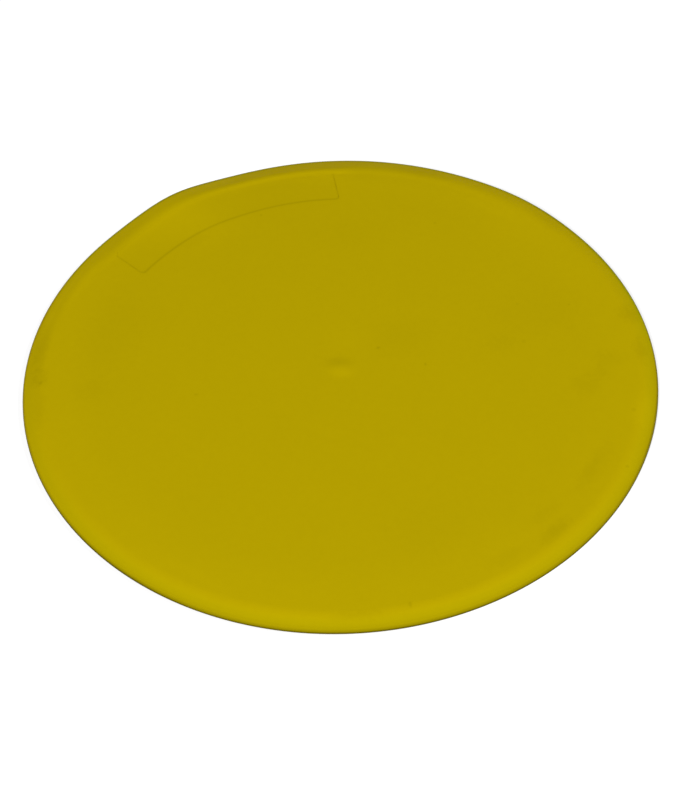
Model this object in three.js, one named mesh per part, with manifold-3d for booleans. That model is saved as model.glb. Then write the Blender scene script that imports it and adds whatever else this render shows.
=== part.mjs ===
// A floor marker: a flat round disc of soft moulded rubber that lies on the floor of a
// sports hall, with a blank name strip let into its top along the rim.
// Millimetres, +Z up. The origin is on the floor under the middle, and the strip is at +Y.
import * as THREE from 'three';
import { mergeVertices } from 'three/addons/utils/BufferGeometryUtils.js';
import Module from 'manifold-3d';

const wasm = await Module();
wasm.setup();

// The disc
const discDiameter = 230;
const shoulderBreadth = 35; // the top starts to fall this far inside the rim
const shoulderDrop = 0.15;
const rimBreadth = 8; // the sloping rim, with its bend and its round edge
const rimBend = 3.8; // the slope comes in over this much of it
const rimSlopeDegrees = 14;
const edgeRound = 1.6; // radius of the edge's upper corner
const lipThickness = 0.3; // from the underside to the edge's outermost line
const lipUndercut = 0.3; // how far the lower corner is rounded inwards

// The low oval nub that the mould's gate leaves in the middle of the top
const nubLength = 15.2;
const nubBreadth = 11.8;
const nubTurnDegrees = -42; // which way its length lies
const nubHeight = 0.41;

// The grip relief under the body, which the disc stands on
const gripHeight = 0.5;
const gripSlope = 0.4; // how far each relief's side leans in over its height
const padDiameter = 24;
const footRingInset = 16; // from the disc's edge to the ring
const footRingWidth = 5;
const pipDiameter = 6;
const pipSpacing = 16;
const pipSides = 6;
const pipRoot = 0.3; // how deep a pip is joined into the body

// The soft edge doesn't lie quite flat: where it rises or droops, how far round, how much,
// and how far in from the edge the wave reaches
const liftReach = 37;
const droopGap = 0.1; // the drooping edge stays this far above the floor
const edgeWaves = [
  { degrees: 97, spreadDegrees: 9, rise: 2.3, reach: liftReach },
  { degrees: 22.5, spreadDegrees: 10, rise: 0.55, reach: liftReach },
  { degrees: 66, spreadDegrees: 35, rise: droopGap - gripHeight, reach: footRingInset },
];

// The name strip and its pocket
const stripFromRim = 1.8; // the land between the strip and the start of the rim
const stripBreadth = 15.5;
const stripSpanDegrees = 56.2; // along its inner side
const stripLeanDegrees = 9.5; // its ends lean together towards the rim
const stripCornerRadius = 1.8;
const stripThickness = 0.8;
const stripSink = 0.1; // the strip lies this much below the top
const stripClearance = 0.35; // the joint line all round it
const stripBedGap = 0.3; // under it

// How finely the curves are faceted
const roundSteps = 96;
const bendSteps = 3;
const edgeSteps = 5;
const nubSteps = 3;
const topRingSpacing = 5;
const stripArcSteps = 24;
const stripCornerSteps = 4;

// Sizes that follow
const discRadius = discDiameter / 2;
const rimSlope = THREE.MathUtils.degToRad(rimSlopeDegrees);
const rimStart = discRadius - rimBreadth;
const bendEnd = rimStart + rimBend;
const edgeStart = discRadius - edgeRound * (1 - Math.sin(rimSlope));
const slopeFall = Math.tan(rimSlope) * (edgeStart - rimStart - rimBend / 2);
const rimFall = slopeFall + edgeRound * Math.cos(rimSlope);
const topLevel = gripHeight + lipThickness + rimFall + shoulderDrop;
const shoulderStart = rimStart - shoulderBreadth;
const nubRadius = nubLength / 2;
const nubTurn = THREE.MathUtils.degToRad(nubTurnDegrees);
const padRadius = padDiameter / 2;
const footRingOuter = discRadius - footRingInset;
const footRingInner = footRingOuter - footRingWidth;
const wavesStart = Math.min(discRadius - liftReach, shoulderStart, footRingInner);
const stripOuterRadius = rimStart - stripFromRim;
const stripInnerRadius = stripOuterRadius - stripBreadth;
const stripHalfSpan = THREE.MathUtils.degToRad(stripSpanDegrees / 2);
const stripLean = THREE.MathUtils.degToRad(stripLeanDegrees);
const stripMiddle = Math.PI / 2; // at +Y
const pocketDepth = stripSink + stripThickness + stripBedGap;
const overcut = 5; // how far cutting solids run past what they cut

// How far the rim has fallen at a radius: a bend, a straight slope and the round edge
function fallFromRimStart(radius) {
  const across = radius - rimStart;
  if (radius <= bendEnd) return (Math.tan(rimSlope) * across ** 2) / (2 * rimBend);
  if (radius <= edgeStart) return Math.tan(rimSlope) * (across - rimBend / 2);
  const share = Math.min((radius - discRadius + edgeRound) / edgeRound, 1);
  return slopeFall + edgeRound * (Math.cos(rimSlope) - Math.sqrt(1 - share ** 2));
}

// Height of the top face at a radius, without the nub and the waves
function topHeight(radius) {
  if (radius <= shoulderStart) return topLevel;
  if (radius <= rimStart) {
    return topLevel - shoulderDrop * ((radius - shoulderStart) / shoulderBreadth) ** 2;
  }
  return topLevel - shoulderDrop - fallFromRimStart(radius);
}

// How much the soft edge is lifted at a point of the disc
function edgeLift(x, y) {
  const radius = Math.hypot(x, y);
  const degrees = THREE.MathUtils.radToDeg(Math.atan2(y, x));
  let lift = 0;
  for (const wave of edgeWaves) {
    const away = THREE.MathUtils.euclideanModulo(degrees - wave.degrees + 180, 360) - 180;
    const outwards = THREE.MathUtils.smoothstep(radius, discRadius - wave.reach, discRadius);
    lift += wave.rise * Math.exp(-((away / wave.spreadDegrees) ** 2)) * outwards;
  }
  return lift;
}

// Radii from start to end, in equal steps of about the spacing
function ringRadii(start, end, spacing) {
  const steps = Math.max(1, Math.round(Math.abs(end - start) / spacing));
  return Array.from({ length: steps + 1 }, (_, i) => start + ((end - start) * i) / steps);
}

// The top face's profile from the edge to where the waves begin, lowered by a drop
function topProfile(drop) {
  const radii = [];
  for (let i = 0; i <= edgeSteps; i += 1) {
    const angle = Math.PI / 2 - ((Math.PI / 2 - rimSlope) * i) / edgeSteps;
    radii.push(discRadius - edgeRound * (1 - Math.sin(angle)));
  }
  radii.push(...ringRadii(bendEnd, rimStart, rimBend / bendSteps));
  radii.push(...ringRadii(rimStart, wavesStart, topRingSpacing).slice(1));
  return radii.map((radius) => new THREE.Vector2(radius, topHeight(radius) - drop));
}

// The nub's profile along its length, ending on the axis
function nubProfile() {
  const points = [];
  for (let i = nubSteps; i >= 0; i -= 1) {
    const share = i / nubSteps;
    const swell = Math.cos((Math.PI / 2) * share) ** 2;
    points.push(new THREE.Vector2(nubRadius * share, topLevel + nubHeight * swell));
  }
  return points;
}

// The underside's profile from the axis to the lip: pad, foot ring and lip
function undersideProfile() {
  const points = [
    [0, 0],
    [padRadius - gripSlope, 0],
    [padRadius, gripHeight],
    [wavesStart, gripHeight],
    [footRingInner, gripHeight],
    [footRingInner + gripSlope, 0],
    [footRingOuter - gripSlope, 0],
    [footRingOuter, gripHeight],
    [(footRingOuter + discRadius) / 2, gripHeight],
    [discRadius - lipUndercut, gripHeight],
  ];
  return points.map(([radius, height]) => new THREE.Vector2(radius, height));
}

// Makes a manifold solid of a closed three.js geometry
function toSolid(geometry) {
  geometry.deleteAttribute('normal');
  geometry.deleteAttribute('uv');
  const merged = mergeVertices(geometry);
  const index = merged.index.array;
  const kept = [];
  for (let i = 0; i < index.length; i += 3) {
    const [a, b, c] = index.slice(i, i + 3);
    if (a !== b && b !== c && c !== a) kept.push(a, b, c);
  }
  return new wasm.Manifold(
    new wasm.Mesh({
      numProp: 3,
      vertProperties: new Float32Array(merged.attributes.position.array),
      triVerts: new Uint32Array(kept),
    })
  );
}

// Turns a profile about +Z and lifts it with the edge's waves
function turned(profile) {
  const geometry = new THREE.LatheGeometry(profile, roundSteps);
  geometry.rotateX(Math.PI / 2);
  const position = geometry.attributes.position;
  for (let i = 0; i < position.count; i += 1) {
    const lift = edgeLift(position.getX(i), position.getY(i));
    position.setZ(i, position.getZ(i) + lift);
    narrowToNub(position, i);
  }
  return toSolid(geometry);
}

// Moves a point of the turned nub inwards across the nub, which makes the nub oval
function narrowToNub(position, i) {
  const axis = new THREE.Vector2(0, 0);
  const place = new THREE.Vector2(position.getX(i), position.getY(i));
  if (place.length() > (nubRadius + padRadius) / 2) return;
  place.rotateAround(axis, -nubTurn);
  place.y *= nubBreadth / nubLength;
  place.rotateAround(axis, nubTurn);
  position.setXY(i, place.x, place.y);
}

// Everything under the top face when that is lowered by a drop
function belowTop(drop) {
  const base = [new THREE.Vector2(0, -overcut), new THREE.Vector2(discRadius, -overcut)];
  return turned([...base, ...topProfile(drop), new THREE.Vector2(0, topLevel - drop)]);
}

// One low pip under the body, tapering towards the floor
function pip(x, y) {
  const rootRadius = pipDiameter / 2 + (gripSlope * pipRoot) / gripHeight;
  const footRadius = pipDiameter / 2 - gripSlope;
  const height = gripHeight + pipRoot;
  const geometry = new THREE.CylinderGeometry(rootRadius, footRadius, height, pipSides);
  geometry.rotateX(Math.PI / 2);
  geometry.translate(x, y, height / 2 + edgeLift(x, y));
  return toSolid(geometry);
}

// Rings of pips between the centre pad and the foot ring
function gripPips() {
  const pips = [];
  for (const radius of ringRadii(padRadius, footRingInner, pipSpacing).slice(1, -1)) {
    const count = Math.round((2 * Math.PI * radius) / pipSpacing);
    for (let i = 0; i < count; i += 1) {
      const angle = (2 * Math.PI * i) / count;
      pips.push(pip(radius * Math.cos(angle), radius * Math.sin(angle)));
    }
  }
  return wasm.Manifold.union(pips);
}

// Points on an arc whose centre is given as a radius and an angle on the disc
function arcPoints(centreRadius, centreAngle, radius, from, to, steps) {
  const points = [];
  for (let i = 0; i <= steps; i += 1) {
    const angle = from + ((to - from) * i) / steps;
    const x = centreRadius * Math.cos(centreAngle) + radius * Math.cos(angle);
    const y = centreRadius * Math.sin(centreAngle) + radius * Math.sin(angle);
    points.push(new THREE.Vector2(x, y));
  }
  return points;
}

// How far round from the strip's middle the centre of a corner at a radius lies
function cornerTurn(radius) {
  const endLine = stripInnerRadius * Math.sin(stripLean) - stripCornerRadius;
  return stripHalfSpan - stripLean + Math.asin(endLine / radius);
}

// The strip's outline, grown all round by a clearance: two long arcs and four round corners
function stripOutline(growth) {
  const innerCentre = stripInnerRadius + stripCornerRadius;
  const outerCentre = stripOuterRadius - stripCornerRadius;
  const innerTurn = cornerTurn(innerCentre);
  const outerTurn = cornerTurn(outerCentre);
  const endFacing = stripHalfSpan - stripLean + Math.PI / 2;
  const arc = (radius, from, to) =>
    arcPoints(0, 0, radius, stripMiddle + from, stripMiddle + to, stripArcSteps);
  const corner = (radius, turn, from, to) =>
    arcPoints(
      radius,
      stripMiddle + turn,
      stripCornerRadius + growth,
      stripMiddle + from,
      stripMiddle + to,
      stripCornerSteps
    );
  return new THREE.Shape([
    ...arc(stripOuterRadius + growth, -outerTurn, outerTurn),
    ...corner(outerCentre, outerTurn, outerTurn, endFacing),
    ...corner(innerCentre, innerTurn, endFacing, innerTurn + Math.PI),
    ...arc(stripInnerRadius - growth, innerTurn, -innerTurn),
    ...corner(innerCentre, -innerTurn, -innerTurn - Math.PI, -endFacing),
    ...corner(outerCentre, -outerTurn, -endFacing, -outerTurn),
  ]);
}

// The outline as an upright solid, tall enough to cut the whole thickness
function stripPrism(growth) {
  const depth = topLevel + Math.max(...edgeWaves.map((wave) => wave.rise)) + overcut;
  return toSolid(new THREE.ExtrudeGeometry(stripOutline(growth), { depth, bevelEnabled: false }));
}

// The disc: its body with the pips under it and the strip's pocket in its top
function markerDisc() {
  const body = turned([...undersideProfile(), ...topProfile(0), ...nubProfile()]);
  const pocket = stripPrism(stripClearance).subtract(belowTop(pocketDepth));
  return body.add(gripPips()).subtract(pocket);
}

// The strip: the same top face, a little lower, cut to the outline and to its thickness
function nameStrip() {
  const upToTop = stripPrism(0).intersect(belowTop(stripSink));
  return upToTop.subtract(belowTop(stripSink + stripThickness));
}

// A named mesh of a solid, in its material
function piece(name, solid, material) {
  const mesh = solid.getMesh();
  const geometry = new THREE.BufferGeometry();
  geometry.setAttribute('position', new THREE.BufferAttribute(new Float32Array(mesh.vertProperties), 3));
  geometry.setIndex(new THREE.BufferAttribute(new Uint32Array(mesh.triVerts), 1));
  geometry.computeVertexNormals();
  const result = new THREE.Mesh(geometry, material);
  result.name = name;
  return result;
}

const yellowRubber = new THREE.MeshStandardMaterial({ color: 0xb29d01, roughness: 0.6, metalness: 0 });
const yellowStrip = new THREE.MeshStandardMaterial({ color: 0xb19c01, roughness: 0.55, metalness: 0 });

const floorMarker = new THREE.Group();
floorMarker.add(piece('marker_disc', markerDisc(), yellowRubber));
floorMarker.add(piece('name_strip', nameStrip(), yellowStrip));

export default floorMarker;
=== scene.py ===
import math

import bpy
import numpy as np
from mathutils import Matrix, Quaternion, Vector


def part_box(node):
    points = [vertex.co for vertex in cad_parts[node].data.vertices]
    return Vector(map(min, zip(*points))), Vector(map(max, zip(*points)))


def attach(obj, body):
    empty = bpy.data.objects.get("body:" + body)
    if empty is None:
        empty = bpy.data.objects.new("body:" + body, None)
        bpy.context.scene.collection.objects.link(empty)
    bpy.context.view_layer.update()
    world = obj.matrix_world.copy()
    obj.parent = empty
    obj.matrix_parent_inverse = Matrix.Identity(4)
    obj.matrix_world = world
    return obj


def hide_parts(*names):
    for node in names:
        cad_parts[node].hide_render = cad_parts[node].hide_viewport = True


# A floor marker: one soft rubber disc with a blank name strip let into its top.
# Metres, +Z up. The strip's middle is at +Y.
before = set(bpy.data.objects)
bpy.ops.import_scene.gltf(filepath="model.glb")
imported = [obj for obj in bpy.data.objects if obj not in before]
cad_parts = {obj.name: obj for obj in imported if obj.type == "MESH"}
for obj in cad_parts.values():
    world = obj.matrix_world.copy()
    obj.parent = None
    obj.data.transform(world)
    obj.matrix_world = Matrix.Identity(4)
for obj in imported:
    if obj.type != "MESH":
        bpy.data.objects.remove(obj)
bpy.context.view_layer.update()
mm = 0.001
discLow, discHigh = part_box("marker_disc")
discRadius = (discHigh.x - discLow.x) / 2

disc = {
    "shoulderBreadth": 35 * mm,  # the top starts to fall this far inside the rim
    "shoulderDrop": 0.15 * mm,
    "rimBreadth": 8 * mm,
    "rimBend": 3.8 * mm,  # the slope comes in over this much of the rim
    "rimSlope": math.radians(14),
    "edgeRound": 1.6 * mm,
    "lipThickness": 0.3 * mm,
    "lipUndercut": 0.3 * mm,
    "nubSize": (7.6 * mm, 5.9 * mm),  # from its middle to its ends and its sides
    "nubTurn": math.radians(-42),
    "nubHeight": 0.41 * mm,
    "nubSharpness": 2.3,
    "bendSteps": 10,
    "slopeSteps": 3,
    "edgeSteps": 12,
    "lipSteps": 5,
    "fineStep": 0.08 * mm,  # spacing of the mesh lines at the joint
    "coarseStep": 4 * mm,
    "aroundStep": 2.6 * mm,
}
grip = {
    "height": 0.5 * mm,
    "slope": 0.4 * mm,  # breadth of the feet's sloping sides
    "padRadius": 12 * mm,
    "ringInset": 16 * mm,  # from the disc's edge
    "ringWidth": 5 * mm,
    "pipRadius": 3 * mm,
    "pipSpacing": 16 * mm,
    "pipSoftening": 0.18 * mm,
    "pipRoot": 0.3 * mm,  # how far a pip reaches up into the body
    "pipSides": 28,
}
strip = {
    "fromRim": 1.8 * mm,
    "breadth": 15.5 * mm,
    "spanDegrees": 56.2,  # along its inner side
    "lean": math.radians(9.5),  # its ends lean together towards the rim
    "corner": 1.8 * mm,
    "thickness": 0.8 * mm,
    "sink": 0.1 * mm,  # how far it lies below the top
    "clearance": -0.03 * mm,  # below nothing, because the joint is closed
    "outerClearance": 0.02 * mm,  # the joint closes towards the rim
    "closingBreadth": 4 * mm,
    "bedGap": 0.3 * mm,
    "softEdge": 0.06 * mm,
    "discEdge": 0.11 * mm,  # the rounding of the disc's side of the joint
    "leastEdge": 0.01 * mm,  # what is left of both roundings at the rim
    "coarseStep": 1.5 * mm,
}
ridge = {  # the strip's outer edge swells into the land beside the rim
    "height": 0.29 * mm,
    "inside": 1.2 * mm,  # from its foot to the strip's outer edge
    "breadth": 2.7 * mm,  # from its foot to its crest
    "fallBreadth": 3.6 * mm,
    "leftShift": 0.6 * mm,  # it lies further in on -X
    "leftShare": 0.52,  # and is lower there
    "leftRange": (-5 * mm, 20 * mm),  # both come in between these distances towards -X
    "fadeDegrees": 5,
    "tailDegrees": 60,  # it runs on lower past the end on +X
    "tailShare": 0.35,
}
edgeWaves = [  # where the soft edge rises or droops
    {"degrees": 97, "spread": 9, "rise": 2.3 * mm, "reach": 37 * mm},
    {"degrees": 22.5, "spread": 10, "rise": 0.55 * mm, "reach": 37 * mm},
    {"degrees": 66, "spread": 35, "rise": -0.4 * mm, "reach": 16 * mm},
]

rimStart = discRadius - disc["rimBreadth"]
bendEnd = rimStart + disc["rimBend"]
edgeStart = discRadius - disc["edgeRound"] * (1 - math.sin(disc["rimSlope"]))
slopeFall = math.tan(disc["rimSlope"]) * (edgeStart - rimStart - disc["rimBend"] / 2)
rimFall = slopeFall + disc["edgeRound"] * math.cos(disc["rimSlope"])
lipLevel = grip["height"] + disc["lipThickness"]
topLevel = lipLevel + rimFall + disc["shoulderDrop"]
shoulderStart = rimStart - disc["shoulderBreadth"]
ringOuter = discRadius - grip["ringInset"]
ringInner = ringOuter - grip["ringWidth"]
stripOuter = rimStart - strip["fromRim"]
stripInner = stripOuter - strip["breadth"]
stripHalfSpan = math.radians(strip["spanDegrees"] / 2)
stripMiddle = math.radians(90)
pocketDepth = strip["sink"] + strip["thickness"] + strip["bedGap"]
sharpAngle = math.radians(35)


def smoothStep(value, start, end):
    t = np.clip((value - start) / (end - start), 0, 1)
    return t * t * (3 - 2 * t)


def edgeLift(x, y):
    radius = np.hypot(x, y)
    degrees = np.degrees(np.arctan2(y, x))
    lift = 0
    for wave in edgeWaves:
        away = (degrees - wave["degrees"] + 180) % 360 - 180
        outwards = smoothStep(radius, discRadius - wave["reach"], discRadius)
        lift = lift + wave["rise"] * np.exp(-((away / wave["spread"]) ** 2)) * outwards
    return lift


def topHeight(radius):
    across = np.maximum(radius - rimStart, 0)
    slope = math.tan(disc["rimSlope"])
    bend = slope * across**2 / (2 * disc["rimBend"])
    straight = slope * (across - disc["rimBend"] / 2)
    share = np.clip((radius - discRadius) / disc["edgeRound"] + 1, 0, 1)
    edge = slopeFall + disc["edgeRound"] * (math.cos(disc["rimSlope"]) - np.sqrt(1 - share**2))
    fall = np.where(radius > bendEnd, np.where(radius > edgeStart, edge, straight), bend)
    shoulder = np.clip((radius - shoulderStart) / disc["shoulderBreadth"], 0, 1)
    return topLevel - disc["shoulderDrop"] * shoulder**2 - fall


def nubRise(x, y):  # the low oval left by the mould's gate
    along = x * math.cos(disc["nubTurn"]) + y * math.sin(disc["nubTurn"])
    across = y * math.cos(disc["nubTurn"]) - x * math.sin(disc["nubTurn"])
    length, breadth = disc["nubSize"]
    share = np.clip(np.hypot(along / length, across / breadth), 0, 1)
    return disc["nubHeight"] * np.cos(np.pi / 2 * share) ** disc["nubSharpness"]


def ridgeHeight(x, y):
    radius = np.hypot(x, y)
    turn = np.degrees(np.abs(np.arctan2(y, x) - stripMiddle) - stripHalfSpan)
    atLeft = smoothStep(-x, *ridge["leftRange"])
    foot = stripOuter - ridge["inside"] - ridge["leftShift"] * atLeft
    crest = foot + ridge["breadth"]
    rise = smoothStep(radius, foot, crest)
    fall = 1 - smoothStep(radius, crest, crest + ridge["fallBreadth"])
    along = 1 - smoothStep(turn, 0, ridge["fadeDegrees"])
    tail = ridge["tailShare"] * (1 - smoothStep(turn, 0, ridge["tailDegrees"]))
    along = np.where(x > 0, np.maximum(along, tail), along)
    height = ridge["height"] * (1 - (1 - ridge["leftShare"]) * atLeft)
    return height * rise * fall * along


def turnAtEnd(radius, pastEnd):  # how far round a point lies that is past the end line
    line = stripInner * math.sin(strip["lean"]) + pastEnd
    return stripHalfSpan - strip["lean"] + np.arcsin(line / radius)


def pastEndLine(radius, turn):
    around = np.clip(np.abs(turn) - stripHalfSpan + strip["lean"], -np.pi / 2, np.pi / 2)
    return radius * np.sin(around) - stripInner * math.sin(strip["lean"])


def stripDistance(x, y):  # from the strip's outline, negative inside it
    radius = np.hypot(x, y)
    turn = (np.arctan2(y, x) - stripMiddle + np.pi) % (2 * np.pi) - np.pi
    pastEnd = pastEndLine(radius, turn)
    pastArc = np.maximum(stripInner - radius, radius - stripOuter)
    a = pastEnd + strip["corner"]
    b = pastArc + strip["corner"]
    outside = np.hypot(np.maximum(a, 0), np.maximum(b, 0))
    return outside + np.minimum(np.maximum(a, b), 0) - strip["corner"]


def jointClosing(radius):  # 0 where the joint is open, 1 at the strip's outer edge
    return smoothStep(radius, stripOuter - strip["closingBreadth"], stripOuter)


def softEdge(distance, radius, rounding):  # how far a rounded edge has fallen
    size = rounding * (1 - jointClosing(radius)) + strip["leastEdge"]
    t = np.clip(distance, 0, size)
    return size - np.sqrt(size**2 - (size - t) ** 2)


def gradedLines(start, end, marks, fine, coarse):  # lines that crowd at the marks
    flat = 0.7 * mm
    growth = 0.28
    lines = [start]
    while lines[-1] < end:
        nearest = min(abs(lines[-1] - mark) for mark in marks)
        lines.append(lines[-1] + min(coarse, fine + growth * max(0, nearest - flat)))
    lines = np.array(lines)
    return start + (lines - start) * (end - start) / (lines[-1] - start)


def meshPiece(name, points, faces):
    mesh = bpy.data.meshes.new(name)
    mesh.from_pydata([tuple(p) for p in points], [], [tuple(f) for f in faces])
    mesh.validate()
    mesh.update()
    mesh.set_sharp_from_angle(angle=sharpAngle)
    piece = bpy.data.objects.new(name, mesh)
    bpy.context.scene.collection.objects.link(piece)
    return piece


def closedRings(name, rings):  # rings from the pole on top, round the edge, to the pole below
    count = len(rings[1])
    points = [rings[0][0]] + [p for ring in rings[1:-1] for p in ring] + [rings[-1][0]]
    last = len(points) - 1
    faces = []
    for j in range(count):
        k = (j + 1) % count
        faces.append((0, 1 + j, 1 + k))
        for i in range(len(rings) - 3):
            a = 1 + i * count
            b = a + count
            faces.append((a + j, b + j, b + k, a + k))
        foot = 1 + (len(rings) - 3) * count
        faces.append((foot + j, last, foot + k))
    return meshPiece(name, points, faces)


def ringAt(radius, height, angles):  # its points follow the strip's leaning ends
    turns = (angles - stripMiddle + np.pi) % (2 * np.pi) - np.pi
    lean = stripHalfSpan - turnAtEnd(np.clip(radius, stripInner, stripOuter), 0)
    share = np.abs(turns) / stripHalfSpan
    angles = angles - lean * np.sign(turns) * np.clip(np.minimum(share, 2 - share), 0, 1)
    x = radius * np.cos(angles)
    y = radius * np.sin(angles)
    return np.stack([x, y, height + edgeLift(x, y)], -1)


def discAngles():
    ends = [stripMiddle - stripHalfSpan, stripMiddle + stripHalfSpan]
    marks = [end * stripOuter for end in ends]
    around = 2 * math.pi * stripOuter
    arc = gradedLines(0, around, marks, disc["fineStep"], disc["aroundStep"])
    return arc[:-1] / stripOuter


def footProfile(radius, side):  # from the body down to the floor, outer side 1, inner side -1
    steps = [(2, 1), (0.5, 1), (0, 0.8), (-1, 0.1), (-1.5, 0)]  # the first keeps the body flat
    return [(radius + side * step * grip["slope"], grip["height"] * up) for step, up in steps]


def makeDiscBody():
    angles = discAngles()
    marks = [0, disc["nubSize"][1] / 2, stripInner, stripOuter]
    radii = gradedLines(0, rimStart, marks, disc["fineStep"], disc["coarseStep"])
    rings = []
    for radius in radii:
        ring = ringAt(radius, topHeight(radius), angles)
        x, y = ring[:, 0], ring[:, 1]
        closing = jointClosing(radius)
        clearance = strip["clearance"] * (1 - closing) + strip["outerClearance"] * closing
        beyond = stripDistance(x, y) - clearance
        inPocket = 1 - smoothStep(beyond, -disc["fineStep"], 0)
        edge = softEdge(beyond, radius, strip["discEdge"])
        ring[:, 2] += ridgeHeight(x, y) + nubRise(x, y)
        ring[:, 2] -= np.where(beyond < 0, pocketDepth * inPocket, edge)
        rings.append(ring)
    rimRadii = list(np.linspace(rimStart, bendEnd, disc["bendSteps"] + 1)[1:])
    rimRadii += list(np.linspace(bendEnd, edgeStart, disc["slopeSteps"] + 1)[1:])
    for step in range(1, disc["edgeSteps"] + 1):
        angle = disc["rimSlope"] + (math.pi / 2 - disc["rimSlope"]) * step / disc["edgeSteps"]
        rimRadii.append(discRadius - disc["edgeRound"] * (1 - math.sin(angle)))
    for radius in rimRadii:
        ring = ringAt(radius, topHeight(radius), angles)
        ring[:, 2] += ridgeHeight(ring[:, 0], ring[:, 1])
        rings.append(ring)
    for step in range(1, disc["lipSteps"] + 1):
        angle = math.pi / 2 * step / disc["lipSteps"]
        radius = discRadius - disc["lipUndercut"] * (1 - math.cos(angle))
        rings.append(ringAt(radius, lipLevel - disc["lipThickness"] * math.sin(angle), angles))
    low = grip["height"]
    still = discRadius - edgeWaves[0]["reach"]  # the edge's waves end here
    underside = [((ringOuter + discRadius) / 2, low)]
    underside += footProfile(ringOuter, 1) + footProfile(ringInner, -1)[::-1]
    underside += [((ringInner + still) / 2, low), (still, low)]
    underside += footProfile(grip["padRadius"], 1) + [(0, 0)]
    rings += [ringAt(radius, height, angles) for radius, height in underside]
    return closedRings("discBody", rings)


print("disc body")
discBody = makeDiscBody()


def makePipShape():  # one pip, upside down as it stands, with its root in the body
    angles = np.linspace(0, 2 * math.pi, grip["pipSides"], endpoint=False)
    foot = grip["pipRadius"] - grip["slope"]
    soft = grip["pipSoftening"]
    root = grip["pipRadius"] + grip["slope"] * grip["pipRoot"] / grip["height"]
    profile = [
        (0, grip["height"] + grip["pipRoot"]),
        (root, grip["height"] + grip["pipRoot"]),
        (foot + soft / 2, soft),
        (foot + soft / 5, soft / 3),
        (foot - soft / 2, 0),
        (0, 0),
    ]
    rings = []
    for radius, height in profile:
        flat = np.full(len(angles), height)
        rings.append(np.stack([radius * np.cos(angles), radius * np.sin(angles), flat], -1))
    return closedRings("pipShape", rings)


def addSocket(tree, name, direction, kind, value=None):
    socket = tree.interface.new_socket(name=name, in_out=direction, socket_type=kind)
    if value is not None:
        socket.default_value = value
    return socket


def addNode(tree, kind, inputs=None, **settings):  # inputs take a value or a socket
    node = tree.nodes.new(kind)
    for name, value in settings.items():
        setattr(node, name, value)
    for name, value in (inputs or {}).items():
        if isinstance(value, bpy.types.NodeSocket):
            tree.links.new(value, node.inputs[name])
        else:
            node.inputs[name].default_value = value
    return node


def addMath(tree, operation, a, b=0, c=0):
    return addNode(tree, "ShaderNodeMath", {0: a, 1: b, 2: c}, operation=operation).outputs[0]


def addVectorMath(tree, operation, a, b=(0, 0, 0)):
    node = addNode(tree, "ShaderNodeVectorMath", {0: a, 1: b}, operation=operation)
    return node.outputs["Value" if operation in ("LENGTH", "DOT_PRODUCT") else "Vector"]


def pipTree():  # rings of pips between the pad and the foot ring, joined into the body
    tree = bpy.data.node_groups.new("gripPips", "GeometryNodeTree")
    addSocket(tree, "Geometry", "INPUT", "NodeSocketGeometry")
    addSocket(tree, "Pip", "INPUT", "NodeSocketObject")
    addSocket(tree, "Rings", "INPUT", "NodeSocketInt", 4)
    addSocket(tree, "First Radius", "INPUT", "NodeSocketFloat", 0.028)
    addSocket(tree, "Ring Pitch", "INPUT", "NodeSocketFloat", 0.016)
    addSocket(tree, "Pip Spacing", "INPUT", "NodeSocketFloat", 0.016)
    addSocket(tree, "Rubber", "INPUT", "NodeSocketMaterial")
    addSocket(tree, "Geometry", "OUTPUT", "NodeSocketGeometry")
    link = tree.links.new
    given = tree.nodes.new("NodeGroupInput").outputs
    result = tree.nodes.new("NodeGroupOutput").inputs
    start = tree.nodes.new("GeometryNodeRepeatInput")
    stop = tree.nodes.new("GeometryNodeRepeatOutput")
    start.pair_with_output(stop)
    stop.repeat_items.new("FLOAT", "Radius")
    link(given["Rings"], start.inputs["Iterations"])
    link(given["First Radius"], start.inputs["Radius"])
    radius = start.outputs["Radius"]
    around = addMath(tree, "MULTIPLY", radius, 2 * math.pi)
    share = addMath(tree, "DIVIDE", around, given["Pip Spacing"])
    count = addNode(tree, "FunctionNodeFloatToInt", {0: share})
    circle = addNode(
        tree, "GeometryNodeMeshCircle", {"Vertices": count.outputs[0], "Radius": radius}
    )
    joined = addNode(tree, "GeometryNodeJoinGeometry", {0: start.outputs["Geometry"]})
    link(circle.outputs[0], joined.inputs[0])
    link(joined.outputs[0], stop.inputs["Geometry"])
    link(addMath(tree, "ADD", radius, given["Ring Pitch"]), stop.inputs["Radius"])
    pip = addNode(tree, "GeometryNodeObjectInfo", {"Object": given["Pip"]})
    onPoints = addNode(
        tree, "GeometryNodeInstanceOnPoints",
        {"Points": stop.outputs["Geometry"], "Instance": pip.outputs["Geometry"]},
    )
    realize = addNode(tree, "GeometryNodeRealizeInstances", {0: onPoints.outputs[0]})
    fuse = addNode(
        tree, "GeometryNodeMeshBoolean", {1: realize.outputs[0]},
        operation="UNION", solver="MANIFOLD",
    )
    link(given["Geometry"], fuse.inputs[1])
    paint = addNode(
        tree, "GeometryNodeSetMaterial", {0: fuse.outputs[0], "Material": given["Rubber"]}
    )
    link(paint.outputs[0], result[0])
    return tree


def setInput(modifier, name, value):
    for item in modifier.node_group.interface.items_tree:
        if item.item_type == "SOCKET" and item.in_out == "INPUT" and item.name == name:
            modifier[item.identifier] = value


def plainMesh(piece, name):  # the evaluated result as a mesh of its own
    dependencies = bpy.context.evaluated_depsgraph_get()
    mesh = bpy.data.meshes.new_from_object(piece.evaluated_get(dependencies))
    mesh.set_sharp_from_angle(angle=sharpAngle)
    result = bpy.data.objects.new(name, mesh)
    bpy.context.scene.collection.objects.link(result)
    bpy.data.objects.remove(piece)
    return result


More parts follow.
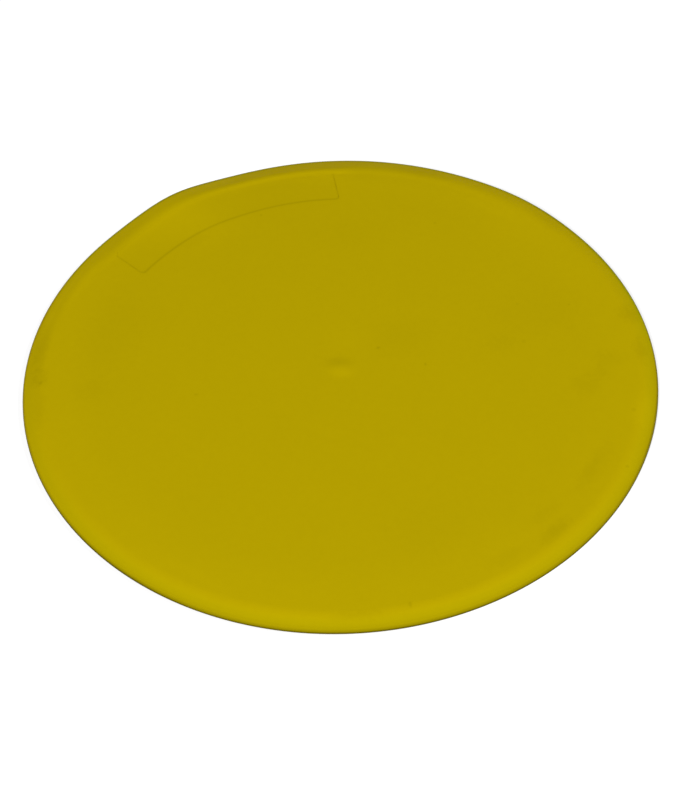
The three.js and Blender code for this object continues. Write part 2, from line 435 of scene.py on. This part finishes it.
def makeStrip():
    angleMarks = [-stripHalfSpan * stripOuter, stripHalfSpan * stripOuter]
    spacing = (disc["fineStep"], strip["coarseStep"])
    turns = gradedLines(*angleMarks, angleMarks, *spacing) / stripOuter
    radii = gradedLines(stripInner, stripOuter, [stripInner, stripOuter], *spacing)
    turn, radius = np.meshgrid(turns, radii, indexing="ij")
    turn = turn * turnAtEnd(radius, 0) / stripHalfSpan
    corner = strip["corner"]
    a = np.maximum(pastEndLine(radius, turn) + corner, 0)
    b = np.maximum(np.maximum(stripInner - radius, radius - stripOuter) + corner, 0)
    reach = np.hypot(a, b)
    pull = np.where(reach > corner, corner / np.maximum(reach, corner), 1)
    atInner = radius < (stripInner + stripOuter) / 2
    pulled = np.where(atInner, stripInner + corner - b * pull, stripOuter - corner + b * pull)
    radius = np.where(pull < 1, pulled, radius)
    turn = np.where(pull < 1, np.sign(turn) * turnAtEnd(radius, a * pull - corner), turn)
    x = radius * np.cos(stripMiddle + turn)
    y = radius * np.sin(stripMiddle + turn)
    level = topHeight(radius) + edgeLift(x, y) - strip["sink"] * (1 - jointClosing(radius))
    inside = np.maximum(-stripDistance(x, y), 0)
    fall = softEdge(inside, radius, strip["softEdge"])
    top = np.stack([x, y, level + ridgeHeight(x, y) - fall], -1)
    bottom = np.stack([x, y, level - strip["thickness"]], -1)
    loops = np.concatenate([top, bottom[:, ::-1]], 1)
    columns, around = loops.shape[:2]
    rows = len(radii)
    faces = []
    for i in range(columns - 1):
        for j in range(around):
            k = (j + 1) % around
            a = i * around
            b = a + around
            faces.append((a + j, b + j, b + k, a + k))
    for i in (0, columns - 1):
        for j in range(rows - 1):
            cap = (j, j + 1, around - 2 - j, around - 1 - j)
            cap = cap if i == 0 else cap[::-1]
            faces.append(tuple(i * around + c for c in cap))
    return meshPiece("strip", loops.reshape(-1, 3), faces)


print("materials")
rubber = {
    "colour": (0.449, 0.337, 0.0004),
    "roughness": 0.5,
    "roughnessSwing": 0.04,
    "mottlingSpan": 0.03,  # tones this far from 1 have the whole swing
    "specular": 0.03,
    "specularTint": (1.0, 0.8, 0.05),
    "grain": {"Scale": 2600.0, "Amount": 0.006, "Height": 0.004 * mm},
    "mottling": {"Scale": 420.0, "Amount": 0.012},
    "clouding": {"Scale": 38.0, "Amount": 0.007},
    # painted light: the outer part of the top a little lighter
    "paleRim": {"Start": 86 * mm, "End": 103 * mm, "Tone": 1.022},
    # painted shade on the slope of the rim
    "paintedRimShade": {"Start": 110.5 * mm, "End": 113.2 * mm, "Tone": 0.965},
    # painted shade at the rim's rolled edge, all round
    "paintedEdgeShade": {"Start": 113.9 * mm, "End": 114.8 * mm, "Tone": 0.75},
    "rimShadingBySide": [  # painted shade towards the rim's edge, a little different on each side; the first, on the near side, is a darker tone of the rim there, and the sixth a painted lighter band
        {
            "Side": (-0.09, -1, 0), "Edge": 0.1, "Full": 0.6,
            "Start": 112.6 * mm, "End": 114.4 * mm, "Tone": 0.89,
        },
        {
            "Side": (0.643, 0.766, 0), "Edge": 0.4, "Full": 0.8,
            "Start": 112.5 * mm, "End": 113.5 * mm, "Tone": 0.86,
        },
        {
            "Side": (-0.996, 0.087, 0), "Edge": 0.7, "Full": 0.9,
            "Start": 114.5 * mm, "End": 115 * mm, "Tone": 0.6,
        },
        {
            "Side": (0.985, -0.174, 0), "Edge": 0.6, "Full": 0.9,
            "Start": 114 * mm, "End": 114.6 * mm, "Tone": 0.76,
        },
        {
            "Side": (0.996, 0.087, 0), "Edge": 0.92, "Full": 0.98,
            "Start": 113.2 * mm, "End": 113.9 * mm, "Tone": 0.86,
        },
        {
            "Side": (-0.39, 0.92, 0), "Edge": 0.8, "Full": 0.93,
            "Start": 109.5 * mm, "End": 111.8 * mm, "Tone": 1.07,
        },
        {
            "Side": (-0.39, 0.92, 0), "Edge": 0.8, "Full": 0.93,
            "Start": 113.1 * mm, "End": 113.8 * mm, "Tone": 0.84,
        },
    ],
    "redSideTones": [  # these take a little red away
        {
            "Side": (-0.09, -1, 0), "Edge": -0.6, "Full": 0.4,
            "Start": 108.5 * mm, "End": 113 * mm, "Tone": 0.96,
        },
        {
            "Side": (0.6, 0.8, 0), "Edge": 0.1, "Full": 0.5,
            "Start": 113 * mm, "End": 113.7 * mm, "Tone": 0.86,
        },
    ],
    "lipShade": {
        "Radius": 114.4 * mm, "Blend": 0.3 * mm,
        "Foot": 1.1 * mm, "Top": 1.7 * mm, "Tone": 0.45,
    },
    "specks": {"Scale": 62.0, "Size": 0.04, "Share": 0.12, "Tone": 0.94},
}
stripLook = {
    "colour": (0.442, 0.332, 0.0004),
    "roughness": 0.45,
    "grainShare": 0.7,
}
endTurn = stripHalfSpan - strip["lean"]
jointLine = {
    "Inner Radius": stripInner,
    "Outer Radius": stripOuter,
    "End Heading": (math.cos(endTurn), -math.sin(endTurn), 0),
    "End Offset": stripInner * math.sin(strip["lean"]),
    "Corner": strip["corner"],
    "Breadth": 0.9 * mm,
    "Blend": 1 * mm,
    "Tone": 0.855,
    "End Tone": 0.955,  # the ends are fainter
}
patchRag = {"scale": 500, "swing": 1.2, "start": 0.7, "end": 1.6}  # their ragged edges
tonePatches = [  # soft darker and lighter patches, then specks: mm from the middle, degrees, mm around and outwards
    {"out": 105, "turn": -74.5, "size": (11, 4), "tone": 0.925},
    {"out": 103, "turn": -85, "size": (12, 3.5), "tone": 0.965},
    {"out": 101, "turn": -56, "size": (22, 5), "tone": 0.968},
    {"out": 109.6, "turn": -114.5, "size": (14, 3), "tone": 0.95},
    {"out": 89, "turn": -35, "size": (7, 8), "tone": 0.965},
    {"out": 98, "turn": -27, "size": (6, 9), "tone": 0.96},
    {"out": 109.9, "turn": -24.7, "size": (9, 4), "tone": 0.93},
    {"out": 109.8, "turn": -15.1, "size": (6, 6), "tone": 0.93},
    {"out": 110.2, "turn": 146, "size": (16, 4), "tone": 0.925},
    {"out": 109, "turn": 160, "size": (16, 4), "tone": 0.955},
    {"out": 78, "turn": -9, "size": (18, 28), "tone": 0.978},
    {"out": 26.5, "turn": 5, "size": (13, 20), "tone": 0.978},
    {"out": 86, "turn": 140, "size": (26, 18), "tone": 0.978},
    {"out": 70, "turn": 60, "size": (20, 14), "tone": 0.984},
    {"out": 109.5, "turn": -40, "size": (12, 6), "tone": 1.04},
    {"out": 108, "turn": 126, "size": (26, 5), "tone": 1.035},
    {"out": 109, "turn": 153, "size": (7, 5), "tone": 0.93},
    {"out": 89.6, "turn": 157.5, "size": (8, 10), "tone": 0.972},
    {"out": 94.4, "turn": -31, "size": (5, 7), "tone": 0.96},
    {"out": 97.7, "turn": -73, "size": (12, 4), "tone": 0.97},
    {"out": 99.7, "turn": -59, "size": (12, 4), "tone": 0.975},
    {"out": 109.5, "turn": 45, "size": (16, 4), "tone": 0.95},
    {"out": 109.6, "turn": 15, "size": (14, 4), "tone": 0.96},
    {"out": 102.5, "turn": 27, "size": (22, 6), "tone": 1.03},
    {"out": 102, "turn": 65, "size": (14, 5), "tone": 1.025},
    {"out": 110, "turn": 90, "size": (14, 4), "tone": 1.035},
    {"out": 104, "turn": -148, "size": (26, 4), "tone": 1.02},
    {"out": 87.5, "turn": 102, "size": (14, 5), "tone": 0.97},
    {"out": 60, "turn": -18, "size": (7, 8), "tone": 0.972},
    {"out": 80, "turn": -95, "size": (22, 18), "tone": 0.986},
    {"out": 14, "turn": 45, "size": (14, 12), "tone": 1.015},
    {"out": 108, "turn": -105.8, "size": (0.9, 1.6), "tone": 0.88},
    {"out": 31.1, "turn": -26.7, "size": (1.2, 0.8), "tone": 0.88},
    {"out": 16.9, "turn": 5.4, "size": (0.9, 1.2), "tone": 0.86},
    {"out": 110.7, "turn": -54, "size": (1, 1), "tone": 0.9},
    {"out": 72.8, "turn": -3.4, "size": (0.9, 0.9), "tone": 0.92},
    {"out": 53, "turn": 165, "size": (0.8, 1.4), "tone": 0.92},
    {"out": 90.4, "turn": -9, "size": (0.9, 0.9), "tone": 0.91},
    {"out": 83.6, "turn": 35.6, "size": (0.9, 1.1), "tone": 0.91},
    {"out": 86.8, "turn": 82.5, "size": (0.9, 1.1), "tone": 0.91},
    {"out": 108.3, "turn": 154.5, "size": (1, 1), "tone": 0.9},
]
vector, number = "NodeSocketVector", "NodeSocketFloat"


def shaderGroup(name, inputs, outputs):
    tree = bpy.data.node_groups.new(name, "ShaderNodeTree")
    for socket, kind, value in inputs:
        addSocket(tree, socket, "INPUT", kind, value)
    for socket, kind in outputs:
        addSocket(tree, socket, "OUTPUT", kind)
    given = tree.nodes.new("NodeGroupInput").outputs
    result = tree.nodes.new("NodeGroupOutput").inputs
    return tree, given, result


def radiusOf(tree, place):
    return addVectorMath(tree, "LENGTH", addVectorMath(tree, "MULTIPLY", place, (1, 1, 0)))


def ramp(tree, value, start, end, low, high):  # a smooth step between two values
    settings = {0: value, 1: start, 2: end, 3: low, 4: high}
    return addNode(tree, "ShaderNodeMapRange", settings, interpolation_type="SMOOTHSTEP").outputs[0]


def makeMottling():  # blotches of tone about 1
    inputs = [("Place", vector, None), ("Scale", number, 400), ("Amount", number, 0.01)]
    tree, given, result = shaderGroup("mottling", inputs, [("Tone", number)])
    noise = addNode(
        tree, "ShaderNodeTexNoise",
        {"Vector": given["Place"], "Scale": given["Scale"], "Detail": 3, "Roughness": 0.6},
    )
    middle = addMath(tree, "SUBTRACT", noise.outputs["Fac"], 0.5)
    swing = addMath(tree, "MULTIPLY", middle, 4)  # because the noise stays near its middle
    tree.links.new(addMath(tree, "MULTIPLY_ADD", swing, given["Amount"], 1), result["Tone"])
    return tree


def makeGrain():  # the moulded skin's fine grain
    inputs = [
        ("Place", vector, None), ("Scale", number, 2600),
        ("Amount", number, 0.005), ("Height", number, 0),
    ]
    tree, given, result = shaderGroup("fineGrain", inputs, [("Tone", number), ("Height", number)])
    noise = addNode(
        tree, "ShaderNodeTexNoise",
        {"Vector": given["Place"], "Scale": given["Scale"], "Detail": 2, "Roughness": 0.55},
    )
    middle = addMath(tree, "SUBTRACT", noise.outputs["Fac"], 0.5)
    tree.links.new(addMath(tree, "MULTIPLY_ADD", middle, given["Amount"], 1), result["Tone"])
    tree.links.new(addMath(tree, "MULTIPLY", middle, given["Height"]), result["Height"])
    return tree


def makeRadialTone():  # a tone that changes with the distance from the middle
    inputs = [
        ("Place", vector, None), ("Start", number, 0.09),
        ("End", number, 0.1), ("Tone", number, 1),
    ]
    tree, given, result = shaderGroup("radialTone", inputs, [("Tone", number)])
    radius = radiusOf(tree, given["Place"])
    tone = ramp(tree, radius, given["Start"], given["End"], 1, given["Tone"])
    tree.links.new(tone, result["Tone"])
    return tree


def makeSideTone():  # a tone that grows towards the edge, on one side only
    inputs = [
        ("Place", vector, None), ("Side", vector, (0, -1, 0)), ("Edge", number, 0.1),
        ("Full", number, 0.6), ("Start", number, 0.112), ("End", number, 0.114),
        ("Tone", number, 1),
    ]
    tree, given, result = shaderGroup("sideTone", inputs, [("Tone", number)])
    heading = addVectorMath(tree, "NORMALIZE", given["Place"])
    facing = addVectorMath(tree, "DOT_PRODUCT", heading, given["Side"])
    side = ramp(tree, facing, given["Edge"], given["Full"], 1, given["Tone"])
    radius = radiusOf(tree, given["Place"])
    tone = ramp(tree, radius, given["Start"], given["End"], 1, side)
    tree.links.new(tone, result["Tone"])
    return tree


def makeLipShade():  # the dark foot of the rim
    inputs = [
        ("Place", vector, None), ("Radius", number, 0.114), ("Blend", number, 0.0003),
        ("Foot", number, 0.001), ("Top", number, 0.0015), ("Tone", number, 1),
    ]
    tree, given, result = shaderGroup("lipShade", inputs, [("Tone", number)])
    height = addNode(tree, "ShaderNodeSeparateXYZ", {0: given["Place"]}).outputs[2]
    low = ramp(tree, height, given["Foot"], given["Top"], given["Tone"], 1)
    radius = radiusOf(tree, given["Place"])
    within = addMath(tree, "SUBTRACT", given["Radius"], given["Blend"])
    tone = ramp(tree, radius, within, given["Radius"], 1, low)
    tree.links.new(tone, result["Tone"])
    return tree


def makeJointLine():  # the thin dark line where the strip meets the disc
    inputs = [
        ("Place", vector, None), ("Inner Radius", number, 0.09), ("Outer Radius", number, 0.1),
        ("End Heading", vector, (1, 0, 0)), ("End Offset", number, 0),
        ("Corner", number, 0.001), ("Breadth", number, 0.0003), ("Blend", number, 0.001),
        ("Tone", number, 1), ("End Tone", number, 1),
    ]
    tree, given, result = shaderGroup("jointLine", inputs, [("Tone", number)])
    part = addNode(tree, "ShaderNodeSeparateXYZ", {0: given["Place"]}).outputs
    side = addMath(tree, "ABSOLUTE", part[0])
    folded = addNode(tree, "ShaderNodeCombineXYZ", {0: side, 1: part[1]}).outputs[0]
    across = addVectorMath(tree, "DOT_PRODUCT", folded, given["End Heading"])
    radius = radiusOf(tree, given["Place"])
    pastEnd = addMath(tree, "SUBTRACT", across, given["End Offset"])
    pastArc = addMath(tree, "SUBTRACT", given["Inner Radius"], radius)
    a = addMath(tree, "ADD", pastEnd, given["Corner"])
    b = addMath(tree, "ADD", pastArc, given["Corner"])
    outside = addNode(
        tree, "ShaderNodeCombineXYZ",
        {0: addMath(tree, "MAXIMUM", a, 0), 1: addMath(tree, "MAXIMUM", b, 0)},
    ).outputs[0]
    within = addMath(tree, "MINIMUM", addMath(tree, "MAXIMUM", a, b), 0)
    distance = addMath(tree, "ADD", addVectorMath(tree, "LENGTH", outside), within)
    away = addMath(tree, "ABSOLUTE", addMath(tree, "SUBTRACT", distance, given["Corner"]))
    atEnd = addMath(tree, "SUBTRACT", a, b)
    before = addMath(tree, "MULTIPLY", given["Blend"], -1)
    deepest = ramp(tree, atEnd, before, given["Blend"], given["Tone"], given["End Tone"])
    line = ramp(tree, away, 0, given["Breadth"], deepest, 1)
    fadeStart = addMath(tree, "SUBTRACT", given["Outer Radius"], given["Blend"])
    tone = ramp(tree, radius, fadeStart, given["Outer Radius"], line, 1)
    tree.links.new(tone, result["Tone"])
    return tree


def makeTonePatch():  # one soft oval patch of tone with a ragged edge
    inputs = [
        ("Place", vector, None), ("Middle", vector, (0, 0, 0)), ("Size", vector, (1, 1, 1)),
        ("Angle", number, 0), ("Tone", number, 1),
    ]
    tree, given, result = shaderGroup("tonePatch", inputs, [("Tone", number)])
    turned = addNode(
        tree, "ShaderNodeVectorRotate",
        {"Vector": given["Place"], "Center": given["Middle"], "Angle": given["Angle"]},
        rotation_type="Z_AXIS",
    ).outputs[0]
    away = addVectorMath(tree, "SUBTRACT", turned, given["Middle"])
    distance = radiusOf(tree, addVectorMath(tree, "DIVIDE", away, given["Size"]))
    noise = addNode(
        tree, "ShaderNodeTexNoise",
        {"Vector": given["Place"], "Scale": patchRag["scale"], "Detail": 3, "Roughness": 0.6},
    )
    ragged = addMath(
        tree, "MULTIPLY_ADD", noise.outputs["Fac"], patchRag["swing"], distance
    )
    tone = ramp(tree, ragged, patchRag["start"], patchRag["end"], given["Tone"], 1)
    tree.links.new(tone, result["Tone"])
    return tree


def makeSpecks():  # a few tiny dark specks
    inputs = [
        ("Place", vector, None), ("Scale", number, 60), ("Size", number, 0.04),
        ("Share", number, 0.3), ("Tone", number, 1),
    ]
    tree, given, result = shaderGroup("specks", inputs, [("Tone", number)])
    cells = addNode(
        tree, "ShaderNodeTexVoronoi", {"Vector": given["Place"], "Scale": given["Scale"]}
    )
    soft = addMath(tree, "MULTIPLY", given["Size"], 2)
    spot = ramp(tree, cells.outputs["Distance"], given["Size"], soft, 1, 0)
    chance = addNode(tree, "ShaderNodeSeparateColor", {0: cells.outputs["Color"]})
    chosen = addMath(tree, "LESS_THAN", chance.outputs[0], given["Share"])
    mask = addMath(tree, "MULTIPLY", spot, chosen)
    tone = addNode(tree, "ShaderNodeMapRange", {0: mask, 3: 1, 4: given["Tone"]})
    tree.links.new(tone.outputs[0], result["Tone"])
    return tree


groups = {
    "mottling": makeMottling(),
    "grain": makeGrain(),
    "radialTone": makeRadialTone(),
    "sideTone": makeSideTone(),
    "lipShade": makeLipShade(),
    "jointLine": makeJointLine(),
    "tonePatch": makeTonePatch(),
    "specks": makeSpecks(),
}


def placeGroup(tree, name, place, values):
    node = tree.nodes.new("ShaderNodeGroup")
    node.node_tree = groups[name]
    tree.links.new(place, node.inputs["Place"])
    for socket, value in values.items():
        node.inputs[socket].default_value = value
    return node


def toneProduct(tree, layers):
    tone = layers[0].outputs["Tone"]
    for layer in layers[1:]:
        tone = addMath(tree, "MULTIPLY", tone, layer.outputs["Tone"])
    return tone


def makeRubber(name, colour, roughness, grainShare):
    material = bpy.data.materials.new(name)
    material.use_nodes = True
    tree = material.node_tree
    shader = tree.nodes["Principled BSDF"]
    shader.inputs["Specular IOR Level"].default_value = rubber["specular"]
    shader.inputs["Specular Tint"].default_value = (*rubber["specularTint"], 1)
    place = tree.nodes.new("ShaderNodeTexCoord").outputs["Object"]
    grain = placeGroup(tree, "grain", place, rubber["grain"])
    grain.inputs["Height"].default_value *= grainShare
    mottling = placeGroup(tree, "mottling", place, rubber["mottling"])
    layers = [grain, mottling, placeGroup(tree, "mottling", place, rubber["clouding"])]
    # a painted lighter outer top, then painted shade on the rim's slope and at its rolled edge
    for part in ("paleRim", "paintedRimShade", "paintedEdgeShade"):
        layers.append(placeGroup(tree, "radialTone", place, rubber[part]))
    layers.append(placeGroup(tree, "lipShade", place, rubber["lipShade"]))
    layers.append(placeGroup(tree, "jointLine", place, jointLine))
    layers.append(placeGroup(tree, "specks", place, rubber["specks"]))
    # painted shade towards the rim's edge, side by side, with one painted lighter band
    layers += [placeGroup(tree, "sideTone", place, sideTone) for sideTone in rubber["rimShadingBySide"]]
    for tonePatch in tonePatches:
        turn = math.radians(tonePatch["turn"])
        out = tonePatch["out"] * mm
        values = {
            "Middle": (out * math.cos(turn), out * math.sin(turn), 0),
            "Size": (tonePatch["size"][1] * mm, tonePatch["size"][0] * mm, 1),
            "Angle": -turn,
            "Tone": tonePatch["tone"],
        }
        layers.append(placeGroup(tree, "tonePatch", place, values))
    tone = toneProduct(tree, layers)
    red = toneProduct(tree, [placeGroup(tree, "sideTone", place, f) for f in rubber["redSideTones"]])
    tint = addNode(tree, "ShaderNodeCombineXYZ", {0: red, 1: 1, 2: 1}).outputs[0]
    tinted = addVectorMath(tree, "MULTIPLY", colour, tint)
    toned = addNode(
        tree, "ShaderNodeVectorMath", {0: tinted, "Scale": tone}, operation="SCALE"
    ).outputs[0]
    tree.links.new(toned, shader.inputs["Base Color"])
    span = rubber["mottlingSpan"]
    swing = rubber["roughnessSwing"]
    settings = {1: 1 - span, 2: 1 + span, 3: roughness + swing, 4: roughness - swing}
    rough = addNode(tree, "ShaderNodeMapRange", {0: mottling.outputs["Tone"], **settings})
    tree.links.new(rough.outputs[0], shader.inputs["Roughness"])
    bump = addNode(tree, "ShaderNodeBump", {"Height": grain.outputs["Height"], "Distance": 1})
    tree.links.new(bump.outputs[0], shader.inputs["Normal"])
    return material


discRubber = makeRubber("discRubber", rubber["colour"], rubber["roughness"], 1)
stripRubber = makeRubber(
    "stripRubber", stripLook["colour"], stripLook["roughness"], stripLook["grainShare"]
)

print("grip pips")
pipShape = makePipShape()
rings = round((ringInner - grip["padRadius"]) / grip["pipSpacing"]) - 1
pitch = (ringInner - grip["padRadius"]) / (rings + 1)
pips = discBody.modifiers.new("gripPips", "NODES")
pips.node_group = pipTree()
setInput(pips, "Pip", pipShape)
setInput(pips, "Rings", rings)
setInput(pips, "First Radius", grip["padRadius"] + pitch)
setInput(pips, "Ring Pitch", pitch)
setInput(pips, "Pip Spacing", grip["pipSpacing"])
setInput(pips, "Rubber", discRubber)
markerDisc = plainMesh(discBody, "markerDisc")
bpy.data.objects.remove(pipShape)
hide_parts("marker_disc")
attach(markerDisc, "root")

print("name strip")
nameStrip = makeStrip()
nameStrip.name = "nameStrip"
nameStrip.data.materials.append(stripRubber)
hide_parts("name_strip")
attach(nameStrip, "root")

print("stage")
stage = {
    "floorSize": 6.0,
    "floorColour": 0.35,
    "floorRoughness": 0.9,
    "floorGlow": 0.75,  # added for the camera, so that the bare floor is white
    "glowStart": 0.3,  # further out, where the lamps fade, it grows to 1
    "glowEnd": 1.2,
}


def cameraGlow(tree, strength):  # white that only the camera and mirror rays see
    path = tree.nodes.new("ShaderNodeLightPath").outputs
    seen = addMath(tree, "MAXIMUM", path["Is Camera Ray"], path["Is Glossy Ray"])
    seen = addMath(tree, "MAXIMUM", seen, path["Is Transmission Ray"])
    return addMath(tree, "MULTIPLY", seen, strength)


def makeFloor():
    half = stage["floorSize"] / 2
    corners = [(-half, -half, 0), (half, -half, 0), (half, half, 0), (-half, half, 0)]
    floor = meshPiece("floor", corners, [(0, 1, 2, 3)])
    material = bpy.data.materials.new("paleFloor")
    material.use_nodes = True
    tree = material.node_tree
    shader = tree.nodes["Principled BSDF"]
    white = stage["floorColour"]
    shader.inputs["Base Color"].default_value = (white, white, white, 1)
    shader.inputs["Roughness"].default_value = stage["floorRoughness"]
    shader.inputs["Specular IOR Level"].default_value = 0.0
    shader.inputs["Emission Color"].default_value = (1, 1, 1, 1)
    place = tree.nodes.new("ShaderNodeTexCoord").outputs["Object"]
    radius = radiusOf(tree, place)
    level = ramp(tree, radius, stage["glowStart"], stage["glowEnd"], stage["floorGlow"], 1)
    tree.links.new(cameraGlow(tree, level), shader.inputs["Emission Strength"])
    floor.data.materials.append(material)


def makeWorld():
    world = bpy.data.worlds.new("studio")
    bpy.context.scene.world = world
    world.use_nodes = True
    tree = world.node_tree
    background = tree.nodes["Background"]
    background.inputs["Color"].default_value = (1, 1, 1, 1)
    tree.links.new(cameraGlow(tree, 1), background.inputs["Strength"])


lamps = {"distance": 3.2, "size": 1.0}
lights = [
    {"name": "leftLamp", "azimuth": -57, "elevation": 35, "watts": 108},
    {"name": "rightLamp", "azimuth": 63, "elevation": 35, "watts": 70.5},
]


def directionTo(azimuth, elevation):  # from the object, azimuth 0 is the -Y side
    a = math.radians(azimuth)
    e = math.radians(elevation)
    return Vector((math.sin(a) * math.cos(e), -math.cos(a) * math.cos(e), math.sin(e)))


def makeLights():
    for light in lights:
        lamp = bpy.data.lights.new(light["name"], "AREA")
        lamp.size = lamps["size"]
        lamp.energy = light["watts"]
        piece = bpy.data.objects.new(light["name"], lamp)
        away = directionTo(light["azimuth"], light["elevation"])
        piece.location = away * lamps["distance"]
        piece.rotation_mode = "QUATERNION"
        piece.rotation_quaternion = (-away).to_track_quat("-Z", "Y")
        bpy.context.scene.collection.objects.link(piece)


camera = {
    "azimuth": -26.6,
    "elevation": 47.66,
    "distance": 0.7187,
    "aim": (-0.00278, -0.01291, 0),
    "rollDegrees": -1.83,
    "lens": 88.84,
    "sensor": 36,
    "nearClip": 0.01,
}


def makeCamera():
    data = bpy.data.cameras.new("camera")
    data.sensor_width = camera["sensor"]
    data.lens = camera["lens"]
    data.clip_start = camera["nearClip"]
    piece = bpy.data.objects.new("camera", data)
    piece.location = directionTo(camera["azimuth"], camera["elevation"]) * camera["distance"]
    aim = Vector(camera["aim"]) - piece.location
    roll = Quaternion((0, 0, 1), math.radians(camera["rollDegrees"]))
    piece.rotation_mode = "QUATERNION"
    piece.rotation_quaternion = aim.to_track_quat("-Z", "Y") @ roll
    bpy.context.scene.collection.objects.link(piece)
    bpy.context.scene.camera = piece


makeFloor()
makeWorld()
makeLights()
makeCamera()
bpy.context.scene.view_settings.view_transform = "Standard"
